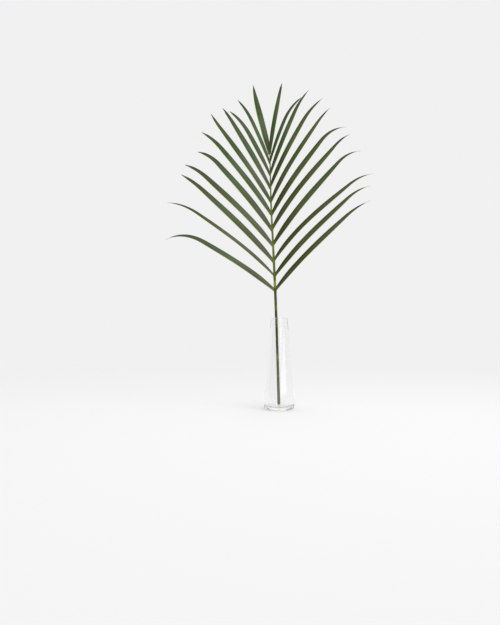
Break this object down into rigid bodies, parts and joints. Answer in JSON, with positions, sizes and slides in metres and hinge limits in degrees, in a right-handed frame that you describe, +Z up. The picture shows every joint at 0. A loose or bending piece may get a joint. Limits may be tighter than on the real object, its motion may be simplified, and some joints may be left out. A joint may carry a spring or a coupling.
{
  "type": "palm frond",
  "caption": "Cut feather palm frond with narrow folded leaflets in nearly opposite pairs, standing in a slim conical clear glass vase.",
  "frame": {"origin": "centre of the vase's flat base, on the surface it stands on", "axes": "+Z up along the vase, +X to the right in the frond's plane, -Y the side that the frond's upper face looks to"},
  "size_m": [0.3245, 0.0644, 0.524],
  "materials": {
    "leaf": "living leaf, satin, olive green with paler stalk and edges",
    "glass": "clear polished glass"
  },
  "bodies": {
    "root": {"frond": "leaf", "vase": "glass"}
  },
  "joints": []
}
